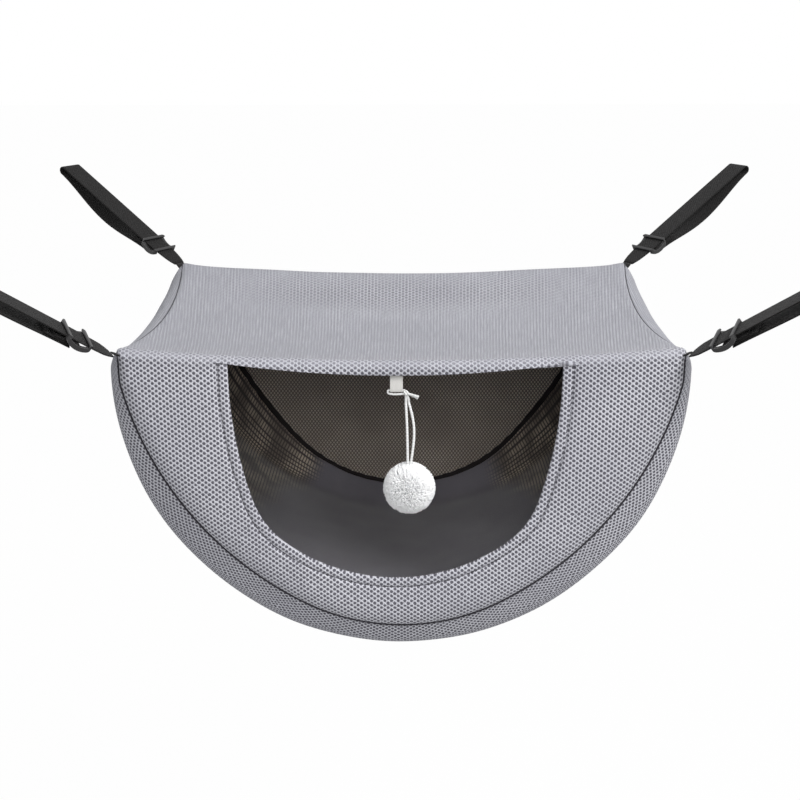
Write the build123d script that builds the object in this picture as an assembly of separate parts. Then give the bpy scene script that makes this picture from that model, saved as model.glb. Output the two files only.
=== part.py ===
from build123d import *
import os
from math import atan, cos, pi, radians, sin, tan

os.makedirs("parts", exist_ok=True)

# A soft cabin for a small pet, hung at its four top corners, with its doorway towards -Y.
# The origin is the middle of the four corners. The cabin hangs below it, and the straps rise from it.

# Cabin sizes
cabin_width = 400.0
cabin_depth = 300.0
front_drop = 215.0
belly_drop = 236.0
back_drop = 222.0
belly_swell = 7.2
roll_length = 20.0
corner_round = 4.0
shoulder_round = 19.0
shoulder_sag = 12.5
roof_sag = 25.0
front_edge_sag = 9.0
back_edge_sag = 8.5

# Each outline's straight, its first arc's depth, and how steeply it runs where its arcs meet
front_shares = (0.079, 0.0445, 0.242, 1.911)
belly_shares = (0.012, 0.0353, 0.03, 1.608)
back_shares = (0.01, 0.0282, 0.352, 0.948)
door_shares = (0.06, 0.5717, 0.439, 1.783)

# Spans between the sections that the cloth is lofted through
roll_span_count = 3
middle_span_count = 4

# Doorway
door_width = 234.0
door_offset = -4.0
door_side_top = 10.0
door_middle_top = 19.0
door_drop = 173.0
hem_width = 8.0
hem_proud = 0.6

# Cloth
mesh_thickness = 3.0
fold_round = 1.8
back_mesh_thickness = 1.2
lining_thickness = 0.8
pad_thickness = 5.0
pad_start_share = 0.22
binding_width = 10.0
binding_thickness = 1.5
binding_top = 14.0
seam_gap = 0.3

# Straps
webbing_width = 20.0
webbing_thickness = 1.3
strap_length = 161.5
front_strap_plan_angle = 34.1
back_strap_plan_angle = 36.8
front_strap_rise_angle = 34.7
back_strap_rise_angle = 28.5
hinge_out = 2.5
hinge_drop = 2.0
sewn_length = 24.0
sewn_dip_angle = 12.0
slide_gap = 0.3

# Sliders
slider_seat = 29.0
slider_length = 20.0
slider_rail = 2.7
slider_arch = 3.7
slider_rail_depth = 3.5
slider_corner_round = 3.0
bar_thickness = 1.8
centre_bar_width = 3.2
end_bar_width = 3.0
bar_round = 0.8
bar_gap = 0.1
fold_tail = 17.0
fold_bend = 4.0
fold_slope = 5.0
fold_end = 24.0

# Toy
toy_offset = -3.2
tape_width = 7.0
tape_thickness = 0.5
tape_sewn_length = 7.5
tape_top_gap = 0.5
tape_spread = 4.0
tape_fold_drop = 30.2
cord_thickness = 1.8
cord_gap = 0.3
ring_bend = 2.3
ring_overhang = 0.4
knot_radius = 2.5
knot_reach = 0.8
lower_knot_radius = 2.2
lower_knot_drop = 4.4
lower_knot_shift = 0.6
tail_length = 9.0
tail_slope_angles = (10.0, 24.0)
tail_splay_angle = 12.0
strand_spacing = 2.1
pompom_radius = 19.0
pompom_drop = 103.5
pompom_shift = 1.4
pompom_flat = 0.8
strand_bow = 3.4
strand_bend_share = 0.45
slack_share = 0.25

# Where the cloth starts and ends from front to back
front_face = -cabin_depth / 2
back_face = cabin_depth / 2
band_front = front_face + mesh_thickness
band_back = back_face - back_mesh_thickness
band_length = band_back - band_front


# Outline of hanging cloth: one side's shoulder, two side arcs and the floor arc, all tangent.
# Each arc is its radius, its centre and the headings it runs between: 0 is down, 90 degrees is level.
def hanging_arcs(half_width, corner, top, bottom, shares):
    straight_share, depth_share, first_share, second_share = shares
    drop = top - corner - bottom
    straight = straight_share * drop
    first = atan(first_share * half_width / drop)
    second = atan(second_share * half_width / drop)
    first_radius = depth_share * drop / sin(first)
    across = half_width - first_radius * (1 - cos(first))
    down = drop - straight - first_radius * sin(first)
    side_across = cos(first) - cos(second)
    side_down = sin(second) - sin(first)
    floor_down = 1 - sin(second)
    scale = side_across * floor_down - cos(second) * side_down
    side_radius = (across * floor_down - cos(second) * down) / scale
    floor_radius = (side_across * down - side_down * across) / scale
    x, z = half_width - first_radius, top - corner - straight
    arcs = [(corner, half_width - corner, top - corner, -pi / 2, 0)]
    arcs.append((first_radius, x, z, 0, first))
    x += (first_radius - side_radius) * cos(first)
    z -= (first_radius - side_radius) * sin(first)
    arcs.append((side_radius, x, z, first, second))
    arcs.append((floor_radius, 0, bottom + floor_radius, second, pi / 2))
    return arcs


def on_arc(arc, heading, inset, y, side=1):
    radius, x, z = arc[:3]
    reach = radius - inset
    return Vector(side * (x + reach * cos(heading)), y, z - reach * sin(heading))


def arc_edge(arc, inset, y, side, begin=None):
    start = arc[3] if begin is None else begin
    end = arc[4]
    return ThreePointArc(*[on_arc(arc, turn, inset, y, side) for turn in (start, (start + end) / 2, end)])


# One line in the cloth from the right side over the floor to the left side.
# It starts at the shoulder, below the shoulder, or partway down the side.
def cloth_line(arcs, inset, y, start="shoulder"):
    shoulder, first, side_arc, floor = arcs
    edges = []
    for side in (1, -1):
        if start == "shoulder":
            edges.append(arc_edge(shoulder, inset, y, side))
        if start == "side":
            begin = first[4] + pad_start_share * (side_arc[4] - side_arc[3])
        else:
            begin = side_arc[3]
            top = on_arc(shoulder, 0, inset, y, side)
            edges.append(Line(top, on_arc(first, 0, inset, y, side)))
            edges.append(arc_edge(first, inset, y, side))
        edges.append(arc_edge(side_arc, inset, y, side, begin))
    right, left = [on_arc(floor, floor[3], inset, y, side) for side in (1, -1)]
    edges.append(ThreePointArc(right, on_arc(floor, floor[4], inset, y), left))
    return edges


def line_ends(arcs, inset, y, start):
    shoulder, first, side_arc, floor = arcs
    if start == "shoulder":
        return [on_arc(shoulder, shoulder[3], inset, y, side) for side in (1, -1)]
    if start == "below":
        return [on_arc(shoulder, 0, inset, y, side) for side in (1, -1)]
    begin = first[4] + pad_start_share * (side_arc[4] - side_arc[3])
    return [on_arc(side_arc, begin, inset, y, side) for side in (1, -1)]


# A layer of cloth cut across at one depth, between two insets
def layer_wire(arcs, outer, inner, y, start="shoulder"):
    edges = cloth_line(arcs, outer, y, start) + cloth_line(arcs, inner, y, start)
    for near, far in zip(line_ends(arcs, outer, y, start), line_ends(arcs, inner, y, start)):
        edges.append(Line(near, far))
    return Wire(edges)


# How far the cloth is from its nearer end seam, and how swollen and how low it hangs there
def seam_distance(y):
    return min(y - band_front, band_back - y)


def sag_share(y):
    return 1 - (1 - 2 * seam_distance(y) / band_length) ** 2


def band_arcs(y):
    swell = sin(pi / 2 * min(1, seam_distance(y) / roll_length))
    nearer_back = y > (band_front + band_back) / 2
    seam_drop = back_drop if nearer_back else front_drop
    seam_shares = back_shares if nearer_back else front_shares
    shares = [seam + (belly - seam) * swell for seam, belly in zip(seam_shares, belly_shares)]
    half_width = cabin_width / 2 + belly_swell * swell
    corner = corner_round + (shoulder_round - corner_round) * swell
    top = -shoulder_sag * sag_share(y)
    bottom = -(seam_drop + (belly_drop - seam_drop) * swell)
    return hanging_arcs(half_width, corner, top, bottom, shares)


# A length of cloth, lofted in three stretches: the swelling end, the middle and the other end
def hang_cloth(wire_at):
    swollen = (band_front + roll_length, band_back - roll_length)
    stretches = (
        (band_front, swollen[0], roll_span_count),
        (swollen[0], swollen[1], middle_span_count),
        (swollen[1], band_back, roll_span_count),
    )
    lofts = []
    for start, end, spans in stretches:
        wires = [wire_at(start + (end - start) * step / spans) for step in range(spans + 1)]
        lofts.append(Solid.make_loft(wires, ruled=False))
    return lofts[0] + lofts[1] + lofts[2]


def cloth_layer(outer, inner, start="shoulder"):
    return hang_cloth(lambda y: layer_wire(band_arcs(y), outer, inner, y, start))


# Roof: a sheet that sags between the band's two top edges
def roof_wire(y):
    arcs = band_arcs(y)
    edge_sag = back_edge_sag if y > (band_front + band_back) / 2 else front_edge_sag
    middle = -(edge_sag + (roof_sag - edge_sag) * sag_share(y))
    right, left = line_ends(arcs, 0, y, "shoulder")
    right -= Vector(seam_gap, 0, 0)
    left += Vector(seam_gap, 0, 0)
    under = Vector(0, 0, -mesh_thickness)
    centre = Vector(0, y, middle)
    return Wire([
        ThreePointArc(left, centre, right),
        Line(right, right + under),
        ThreePointArc(right + under, centre + under, left + under),
        Line(left + under, left),
    ])


def roof_panel():
    return hang_cloth(roof_wire)


# Front and back: flat sheets in the outline of the band's end
def end_sheet(y, edge_sag, seam_y, thickness):
    arcs = band_arcs(seam_y)
    right, left = line_ends(arcs, 0, y, "shoulder")
    edges = cloth_line(arcs, 0, y) + [ThreePointArc(right, Vector(0, y, -edge_sag), left)]
    return extrude(Face(Wire(edges)), amount=thickness, dir=(0, 1, 0))


def door_arcs():
    return hanging_arcs(door_width / 2, 0, -door_side_top, -door_drop, door_shares)


# The doorway, cut wide enough to take the hem at its sides and bottom
def door_cut():
    arcs = door_arcs()
    y = front_face - hem_proud - seam_gap
    outer = -(hem_width + seam_gap)
    edges = cloth_line(arcs, outer, y, "below")
    right, left = line_ends(arcs, 0, y, "below")
    for near, far in zip((right, left), line_ends(arcs, outer, y, "below")):
        edges.append(Line(near, far))
    edges.append(ThreePointArc(right, Vector(0, y, -door_middle_top), left))
    depth = mesh_thickness + 2 * (hem_proud + seam_gap)
    return Pos(door_offset, 0, 0) * extrude(Face(Wire(edges)), amount=depth, dir=(0, 1, 0))


def front_panel():
    sheet = end_sheet(front_face, front_edge_sag, band_front, mesh_thickness)
    fold = sheet.edges().filter_by_position(Axis.Y, front_face - seam_gap, front_face + seam_gap)
    sheet = fillet(fold.sort_by(Axis.Z)[-1], fold_round)
    return sheet - door_cut()


def doorway_hem():
    y = front_face - hem_proud
    strip = Face(layer_wire(door_arcs(), -hem_width, 0, y, "below"))
    hem = extrude(strip, amount=mesh_thickness + 2 * hem_proud, dir=(0, 1, 0))
    header = Box(cabin_width, cabin_depth, 2 * (door_side_top + seam_gap))
    return Pos(door_offset, 0, 0) * (hem - header)


def back_seam_binding():
    lining = mesh_thickness + lining_thickness + 2 * seam_gap
    y = band_back - binding_thickness
    strip = Face(layer_wire(band_arcs(band_back), lining, lining + binding_width, y, "below"))
    binding = extrude(strip, amount=binding_thickness, dir=(0, 1, 0))
    return binding - Box(2 * cabin_width, 2 * cabin_depth, 2 * binding_top)


def shell_lining():
    outer = mesh_thickness + seam_gap
    return cloth_layer(outer, outer + lining_thickness, "below")


# The pad stops short of the back seam's binding
def floor_pad():
    outer = mesh_thickness + lining_thickness + 2 * seam_gap
    pad = cloth_layer(outer, outer + pad_thickness, "side")
    binding = 2 * (binding_thickness + seam_gap)
    return pad - Pos(0, band_back, 0) * Box(2 * cabin_width, binding, 2 * cabin_width)


# Straps. Each is drawn in its own frame: along the strap, across its width, and up from its face.
ply = webbing_thickness / 2
standing_under = -ply - slide_gap
bar_middle = standing_under - webbing_thickness - bar_gap - bar_thickness / 2
lower_ply_top = bar_middle - bar_thickness / 2 - bar_gap
return_middle = lower_ply_top - webbing_thickness - slide_gap - ply
loop_radius = (-return_middle - webbing_thickness) / 2
loop_middle = strap_length - loop_radius - webbing_thickness


def plan_direction(side, end):
    plan = radians(front_strap_plan_angle if end < 0 else back_strap_plan_angle)
    return Vector(side * cos(plan), end * sin(plan), 0)


def hinge_point(side, end):
    corner = Vector(side * cabin_width / 2, end * cabin_depth / 2, -hinge_drop)
    return corner + plan_direction(side, end) * hinge_out


def strap_frame(side, end):
    rise = radians(front_strap_rise_angle if end < 0 else back_strap_rise_angle)
    out = plan_direction(side, end)
    along = out * cos(rise) + Vector(0, 0, sin(rise))
    up = Vector(0, 0, cos(rise)) - out * sin(rise)
    return Plane(origin=hinge_point(side, end), x_dir=along, z_dir=up)


def sewn_frame(side, end):
    dip = radians(sewn_dip_angle)
    out = plan_direction(side, end)
    along = -out * cos(dip) - Vector(0, 0, sin(dip))
    up = Vector(0, 0, cos(dip)) - out * sin(dip)
    return Plane(origin=hinge_point(side, end), x_dir=along, z_dir=up)


# A closed profile seen from the strap's edge, made as wide as asked
def across_strap(edges, width):
    return extrude(Face(Wire(edges)), amount=width / 2, both=True)


def edge_point(along, up):
    return Vector(along, 0, up)


def corner_webbing():
    near = ply + slide_gap
    length = sewn_length - near
    return Pos(near + length / 2, 0, 0) * Box(length, webbing_width, webbing_thickness)


def strap():
    upper, lower = ply, return_middle - ply
    middle = return_middle / 2
    return_start = slider_seat + centre_bar_width
    edges = [
        Line(edge_point(0, upper), edge_point(loop_middle, upper)),
        ThreePointArc(edge_point(loop_middle, upper), edge_point(strap_length, middle),
                      edge_point(loop_middle, lower)),
        Line(edge_point(loop_middle, lower), edge_point(return_start, lower)),
        Line(edge_point(return_start, lower), edge_point(return_start, lower + webbing_thickness)),
        Line(edge_point(return_start, lower + webbing_thickness),
             edge_point(loop_middle, lower + webbing_thickness)),
        ThreePointArc(edge_point(loop_middle, lower + webbing_thickness),
                      edge_point(loop_middle + loop_radius, middle), edge_point(loop_middle, -ply)),
        Line(edge_point(loop_middle, -ply), edge_point(0, -ply)),
        ThreePointArc(edge_point(0, -ply), edge_point(-ply, 0), edge_point(0, upper)),
    ]
    return across_strap(edges, webbing_width)


# Slider: two arched rails, an end bar over the standing webbing at each end, and a centre bar under it
def slider():
    half = slider_length / 2
    rail_low = bar_middle - slider_rail_depth / 2
    window = webbing_width + 2 * slide_gap
    width = window + 2 * slider_rail
    arch = []
    for middle, ends in ((rail_low, rail_low + slider_arch),
                         (rail_low + slider_rail_depth, rail_low + slider_rail_depth + slider_arch)):
        arch.append(ThreePointArc(edge_point(-half, ends), edge_point(0, middle), edge_point(half, ends)))
    ends = [Line(edge_point(end, rail_low + slider_arch),
                 edge_point(end, rail_low + slider_arch + slider_rail_depth)) for end in (-half, half)]
    rails = across_strap(arch + ends, width) - Box(2 * slider_length, window, 2 * slider_length)
    frame = rails + Pos(0, 0, bar_middle) * rounded_bar(centre_bar_width, bar_thickness / 2, width)
    end_bar_up = ply + slide_gap + bar_thickness / 2
    for end in (-1, 1):
        seat = Pos(end * (half - end_bar_width / 2), 0, end_bar_up)
        frame += seat * rounded_bar(end_bar_width, bar_round, width)
    plan = RectangleRounded(slider_length, width, slider_corner_round)
    return frame & extrude(plan, amount=2 * slider_length, both=True)


def rounded_bar(width, corner, length):
    profile = Plane.XZ * RectangleRounded(width, bar_thickness, corner - bar_gap / 2)
    return extrude(profile, amount=length / 2, both=True)


# The webbing's far end: round the centre bar, then down onto the ply below and sewn to it
def strap_end():
    inner = bar_thickness / 2 + bar_gap
    outer = inner + webbing_thickness
    turn = -centre_bar_width / 2 + bar_thickness / 2
    top, under = bar_middle + outer, bar_middle + inner
    floor, base = bar_middle - inner, bar_middle - outer
    sewn_top = floor + webbing_thickness
    bend, landing = fold_bend, fold_bend + fold_slope
    slack = webbing_thickness * slack_share
    outside = [
        ThreePointArc(edge_point(turn, top), edge_point(turn - outer, bar_middle), edge_point(turn, base)),
        Line(edge_point(turn, base), edge_point(fold_end, base)),
        Line(edge_point(fold_end, base), edge_point(fold_end, floor)),
        Line(edge_point(fold_end, floor), edge_point(fold_tail, floor)),
        Line(edge_point(fold_tail, floor), edge_point(fold_tail, sewn_top)),
        Line(edge_point(fold_tail, sewn_top), edge_point(landing, sewn_top)),
        Line(edge_point(landing, sewn_top), edge_point(bend, top)),
        Line(edge_point(bend, top), edge_point(turn, top)),
    ]
    inside = [
        ThreePointArc(edge_point(turn, under), edge_point(turn - inner, bar_middle), edge_point(turn, floor)),
        Line(edge_point(turn, floor), edge_point(landing - slack, floor)),
        Line(edge_point(landing - slack, floor), edge_point(bend - slack, under)),
        Line(edge_point(bend - slack, under), edge_point(turn, under)),
    ]
    return across_strap(outside, webbing_width) - across_strap(inside, 2 * webbing_width)


# Toy. Its tape is sewn behind the header, and the cord's ring runs through the tape's fold.
toy_plane = band_front + tape_thickness
fold_radius = cord_thickness / 2 + cord_gap
ring_half = tape_width / 2 + ring_overhang
ring_low = -(tape_fold_drop + 2 * ring_bend)
knot_middle = Vector(toy_offset + ring_half + ring_bend + knot_reach, toy_plane,
                     -(tape_fold_drop + ring_bend))
sway_middle = knot_middle + Vector(lower_knot_shift, 0, -lower_knot_drop)
pompom_middle = Vector(sway_middle.X + pompom_shift, toy_plane, -pompom_drop)
strand_top = sway_middle.Z - lower_knot_radius - cord_gap
strand_bottom = pompom_middle.Z + pompom_radius - pompom_flat


def tape_point(across, drop):
    return Vector(0, toy_plane + across, -drop)


def tape_side(half, pinch, spread_start, spread_end):
    fold = [(-half, spread_end), (-half, tape_fold_drop)]
    edges = [Line(tape_point(-pinch, spread_start), tape_point(*fold[0]))]
    edges.append(Line(tape_point(*fold[0]), tape_point(*fold[1])))
    edges.append(ThreePointArc(tape_point(-half, tape_fold_drop), tape_point(0, tape_fold_drop + half),
                               tape_point(half, tape_fold_drop)))
    edges.append(Line(tape_point(half, tape_fold_drop), tape_point(half, spread_end)))
    edges.append(Line(tape_point(half, spread_end), tape_point(pinch, spread_start)))
    return edges


def toy_tape_tab():
    top = front_edge_sag + mesh_thickness + tape_top_gap
    sewn = top + tape_sewn_length
    outer = fold_radius + tape_thickness
    outside = tape_side(outer, tape_thickness, sewn, sewn + tape_spread)
    outside.append(Line(tape_point(tape_thickness, sewn), tape_point(tape_thickness, top)))
    outside.append(Line(tape_point(tape_thickness, top), tape_point(-tape_thickness, top)))
    outside.append(Line(tape_point(-tape_thickness, top), tape_point(-tape_thickness, sewn)))
    pinch = tape_thickness * slack_share
    inside = tape_side(fold_radius, pinch, sewn + tape_thickness, sewn + tape_spread)
    inside.append(Line(tape_point(pinch, sewn + tape_thickness), tape_point(-pinch, sewn + tape_thickness)))
    tape = extrude(Face(Wire(outside)), amount=tape_width / 2, both=True)
    tape -= extrude(Face(Wire(inside)), amount=tape_width, both=True)
    return Pos(toy_offset, 0, 0) * tape


# Cord ring through the fold, its double knot at the right, and the knot's two short tails
def toy_cord_ring():
    high = -tape_fold_drop
    left, right = toy_offset - ring_half, toy_offset + ring_half
    middle = (high + ring_low) / 2
    path = Wire([
        Line((left, toy_plane, high), (right, toy_plane, high)),
        ThreePointArc((right, toy_plane, high), (right + ring_bend, toy_plane, middle),
                      (right, toy_plane, ring_low)),
        Line((right, toy_plane, ring_low), (left, toy_plane, ring_low)),
        ThreePointArc((left, toy_plane, ring_low), (left - ring_bend, toy_plane, middle),
                      (left, toy_plane, high)),
    ])
    start = Plane(origin=(left, toy_plane, high), z_dir=(1, 0, 0))
    ring = sweep(start * Circle(cord_thickness / 2), path=path)
    ring += Pos(knot_middle) * Sphere(knot_radius) + Pos(sway_middle) * Sphere(lower_knot_radius)
    for slope, splay in zip(tail_slope_angles, (-tail_splay_angle, tail_splay_angle)):
        turn = Rotation(0, 90 + slope, 0)
        tail = Cylinder(cord_thickness / 2, tail_length, align=(Align.CENTER, Align.CENTER, Align.MIN))
        ring += Pos(knot_middle) * Rotation(0, 0, splay) * turn * tail
    return ring


# The two strands, each from just under the knot to the pompom's top, with points chosen by hand.
# A point is how far the strand stands out sideways and how far down it is, as shares.
strand_shares = {
    "left": ((0, 0), (0.10, 0.30), (0.06, 0.66), (0, 1)),
    "right": ((0, 0), (0.62, 0.18), (1, 0.42), (0.72, 0.70), (0, 1)),
}


def strand_points(name):
    aside = {"left": -1, "right": 1}[name]
    points = []
    for out, down in strand_shares[name]:
        lean = (pompom_middle.X - sway_middle.X) * down
        x = sway_middle.X + lean + aside * strand_spacing / 2 + strand_bow * out
        points.append(Vector(x, toy_plane, strand_top + down * (strand_bottom - strand_top)))
    return points


def toy_cord(name):
    points = strand_points(name)
    radii = []
    for before, at, after in zip(points, points[1:], points[2:]):
        shorter = min((at - before).length, (after - at).length)
        turn = radians((at - before).get_angle(after - at))
        radii.append(strand_bend_share * shorter / tan(turn / 2))
    path = FilletPolyline(*points, radius=radii)
    print("toy cord", name, "radii", [round(radius, 1) for radius in radii])
    start = Plane(origin=points[0], z_dir=points[1] - points[0])
    tube = sweep(start * Circle(cord_thickness / 2), path=path)
    print("toy cord", name, "length", round(path.length, 2),
          "volume share", round(tube.volume / (path.length * pi * cord_thickness ** 2 / 4), 4))
    trim = Pos(pompom_middle.X, toy_plane, strand_bottom - pompom_radius)
    tube -= trim * Box(2 * pompom_radius, 2 * pompom_radius, 2 * pompom_radius)
    return tube


def pompom():
    ball = Sphere(pompom_radius)
    above = 2 * pompom_radius - pompom_flat
    ball -= Pos(0, 0, above) * Box(2 * pompom_radius, 2 * pompom_radius, 2 * pompom_radius)
    return Pos(pompom_middle) * ball


corners = {
    "front_left": (-1, -1),
    "front_right": (1, -1),
    "back_left": (-1, 1),
    "back_right": (1, 1),
}

cloth = {
    "roof_panel": roof_panel(),
    "front_panel": front_panel(),
    "shell_panel": cloth_layer(0, mesh_thickness),
    "shell_lining": shell_lining(),
    "back_panel": end_sheet(band_back, back_edge_sag, band_back, back_mesh_thickness),
}
parts = {
    "doorway_hem": doorway_hem(),
    "floor_pad": floor_pad(),
    "back_seam_binding": back_seam_binding(),
    "toy_tape_tab": toy_tape_tab(),
    "toy_cord_ring": toy_cord_ring(),
    "toy_cord_left": toy_cord("left"),
    "toy_cord_right": toy_cord("right"),
    "pompom": pompom(),
}
for name, (side, end) in corners.items():
    frame = strap_frame(side, end).location
    sewn = sewn_frame(side, end).location * corner_webbing()
    parts["corner_webbing_" + name] = sewn
    parts["strap_" + name] = frame * strap()
    parts["slider_" + name] = frame * Pos(slider_seat, 0, 0) * slider()
    parts["strap_end_" + name] = frame * Pos(slider_seat, 0, 0) * strap_end()
    for sheet in cloth:
        cloth[sheet] = cloth[sheet] - sewn

for name, solid in {**cloth, **parts}.items():
    export_step(solid, "parts/" + name + ".step")
print(len(cloth) + len(parts), "nodes, loop radius", round(loop_radius, 2))
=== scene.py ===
import random
from bisect import bisect_left
from math import atan, atan2, copysign, cos, dist, exp, hypot, pi, radians, sin, sqrt

import bmesh
import bpy
from mathutils import Matrix, Vector, noise


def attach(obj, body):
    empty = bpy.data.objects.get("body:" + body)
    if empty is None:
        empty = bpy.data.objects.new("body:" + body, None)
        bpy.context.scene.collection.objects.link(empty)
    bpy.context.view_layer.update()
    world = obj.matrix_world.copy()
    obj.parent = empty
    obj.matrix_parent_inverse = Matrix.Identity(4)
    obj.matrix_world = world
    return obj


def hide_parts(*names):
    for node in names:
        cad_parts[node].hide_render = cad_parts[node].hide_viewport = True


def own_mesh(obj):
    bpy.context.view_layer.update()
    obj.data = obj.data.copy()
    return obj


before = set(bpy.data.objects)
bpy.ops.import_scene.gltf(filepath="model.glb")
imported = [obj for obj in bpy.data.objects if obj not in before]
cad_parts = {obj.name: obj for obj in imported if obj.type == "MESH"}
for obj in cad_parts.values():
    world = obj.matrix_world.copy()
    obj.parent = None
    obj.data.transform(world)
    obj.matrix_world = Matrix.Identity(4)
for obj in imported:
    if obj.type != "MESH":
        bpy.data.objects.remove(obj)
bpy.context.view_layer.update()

# Sizes are in millimetres until a mesh is made. These are the part's own sizes.
mm = 0.001
cabin_width = 400.0
cabin_depth = 300.0
front_drop = 215.0
belly_drop = 236.0
back_drop = 222.0
belly_swell = 7.2
roll_length = 20.0
corner_round = 4.0
shoulder_round = 19.0
shoulder_sag = 12.5
roof_sag = 25.0
front_edge_sag = 9.0
back_edge_sag = 8.5
front_shares = (0.079, 0.0445, 0.242, 1.911)
belly_shares = (0.012, 0.0353, 0.03, 1.608)
back_shares = (0.01, 0.0282, 0.352, 0.948)
door_shares = (0.06, 0.5717, 0.439, 1.783)
door_width = 234.0
door_offset = -4.0
door_side_top = 10.0
door_middle_top = 19.0
door_drop = 173.0
hem_width = 8.0
mesh_thickness = 3.0
back_mesh_thickness = 1.2
lining_thickness = 0.8
pad_thickness = 5.0
pad_start_share = 0.22
seam_gap = 0.3
binding_top = 14.0
webbing_width = 20.0
webbing_thickness = 1.3
strap_length = 161.5
front_strap_plan = 34.1
back_strap_plan = 36.8
front_strap_rise = 34.7
back_strap_rise = 28.5
hinge_out = 2.5
hinge_drop = 2.0
sewn_length = 24.0
sewn_dip = 12.0
slide_gap = 0.3
slider_seat = 29.0
bar_thickness = 1.8
bar_gap = 0.1
centre_bar_width = 3.2
slide_reach = 80.0
toy_offset = -3.2
tape_width = 7.0
tape_thickness = 0.5
tape_fold_drop = 30.2
cord_thickness = 1.8
ring_bend = 2.3
ring_overhang = 0.4
knot_reach = 0.8
lower_knot_radius = 2.2
lower_knot_drop = 4.4
lower_knot_shift = 0.6
tail_length = 9.0
tail_slopes = (10.0, 24.0)
tail_splay = 12.0
strand_spacing = 2.1
pompom_radius = 19.0
pompom_drop = 103.5
pompom_shift = 1.4
pompom_flat = 0.8
strand_bow = 3.4

front_face = -cabin_depth / 2
back_face = cabin_depth / 2
band_front = front_face + mesh_thickness
band_back = back_face - back_mesh_thickness
band_length = band_back - band_front
inside_lining = mesh_thickness + lining_thickness + 2 * seam_gap

# How the sewn edges of the cloth roll into their seams
valley_depth = 2.2
front_seam = front_face + 6.4
back_seam = back_face - 4.0
front_roll = 12.0
low_roll = 34.0
front_bulge = 1.2
back_roll = 6.0
band_roll = 7.0
top_roll = 4.0
top_dip = 0.7
plain_reach = 55.0
roof_tuck = 1.8
roof_tuck_roll = 5.0
roof_tuck_dip = 2.4
roof_lap = 0.9
fold_roll = 6.0
corner_roll = 5.0
hem_dip_width = 3.5
hem_dip = 1.6
# What the scene shows of the cloths, hem, tape and webbing
cloth_thickness = 2.6
back_thickness = 0.6
hem_fold = 1.4
hem_cover = 1.3
hem_height = 2.0
stitch_outset = 6.6
tape_middle = 6.6
tape_half = 2.4
toy_tape_half = 4.5
front_strap_lean = 17.0
shade_line_radius = 0.7
sewn_width = 9.0
cabin_middle = Vector((0, 0, -0.1))
# Along a front strap, where its lean comes in past the corner, and where it has gone again before the bar
lean_comes = (-8.0, 8.0)
lean_goes = (152.0, 130.0)
# The band's top edges under the roof: how far in and down they lie, and how much cloth that takes
band_tuck = ((1.4, 2.4, 2.5), (1.0, 0.7, 1.0))

# How the roof's and front's cloth lies: its roll narrows near a corner, its edge rises at the corners,
# and towards the back its middle shows its holes more
corner_fade = 37.0
corner_start = 12.0
corner_stretch = (15.0, 110.0)
least_slant = 0.35
longest_roll_share = 0.55
roof_corner_reach = 199.2
roof_waist = 9.4
roof_end = back_face - 1.6
roof_end_dip = 1.4
roof_end_roll = 5.0
front_edge_fade = 9.0
open_share = 0.85
open_place = 95.0
open_depth = 48.0
open_half_width = 150.0

# How finely the roof's and front's cloth is divided. The gather draws its columns towards the corners.
top_columns = 72
side_columns = 170
corner_gather = 0.85
rim_rows = 8
flat_rows = 12
roof_rows = 40


class Wire:
    """A node's output. Sums on it make maths nodes."""

    def __init__(self, nodes, socket):
        self.nodes, self.socket = nodes, socket

    def __add__(self, other):
        return self.nodes.maths("ADD", self, other)

    def __sub__(self, other):
        return self.nodes.maths("SUBTRACT", self, other)

    def __mul__(self, other):
        return self.nodes.maths("MULTIPLY", self, other)

    def __abs__(self):
        return self.nodes.maths("ABSOLUTE", self)

    def off_middle(self):
        """How far a value lies from the middle of its whole step, from 0 to 0.5."""
        return abs(self.nodes.maths("FRACT", self) - 0.5)

    def spread(self, low, high, to_low=0.0, to_high=1.0):
        return self.nodes.make("ShaderNodeMapRange", (self, low, high, to_low, to_high),
                               interpolation_type="SMOOTHSTEP")


class Nodes:
    """A node tree, written as sums instead of as loose nodes."""

    def __init__(self, tree):
        self.tree = tree

    def put(self, socket, value):
        if isinstance(value, Wire):
            self.tree.links.new(value.socket, socket)
        else:
            socket.default_value = value

    def make(self, kind, values=(), output=0, **settings):
        made = self.tree.nodes.new(kind)
        for setting, value in settings.items():
            setattr(made, setting, value)
        for key, value in values.items() if isinstance(values, dict) else enumerate(values):
            self.put(made.inputs[key], value)
        return Wire(self, made.outputs[output])

    def maths(self, operation, *values):
        return self.make("ShaderNodeMath", values, operation=operation)

    def vector(self, operation, *values, output="Vector"):
        return self.make("ShaderNodeVectorMath", values, output, operation=operation)

    def attribute(self, name, output="Vector"):
        return self.make("ShaderNodeAttribute", output=output, attribute_name=name)

    def place(self):
        return self.make("ShaderNodeTexCoord", output="Object")

    def axes(self, vector):
        parts = self.make("ShaderNodeSeparateXYZ", (vector,)).socket.node.outputs
        return [Wire(self, part) for part in parts]

    def cells(self, cloth, across, along):
        """The cloth's two flat coordinates, counted in steps of these sizes in millimetres."""
        return self.axes(self.vector("DIVIDE", cloth, (across, along, 1.0)))[:2]

    def noise(self, where, scale, detail=2.0, roughness=0.5):
        return self.make("ShaderNodeTexNoise", {"Vector": where, "Scale": scale, "Detail": detail,
                                                "Roughness": roughness})

    def mix(self, share, first, second):
        return self.make("ShaderNodeMix", {0: share, 6: first, 7: second}, 2, data_type="RGBA")


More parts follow.
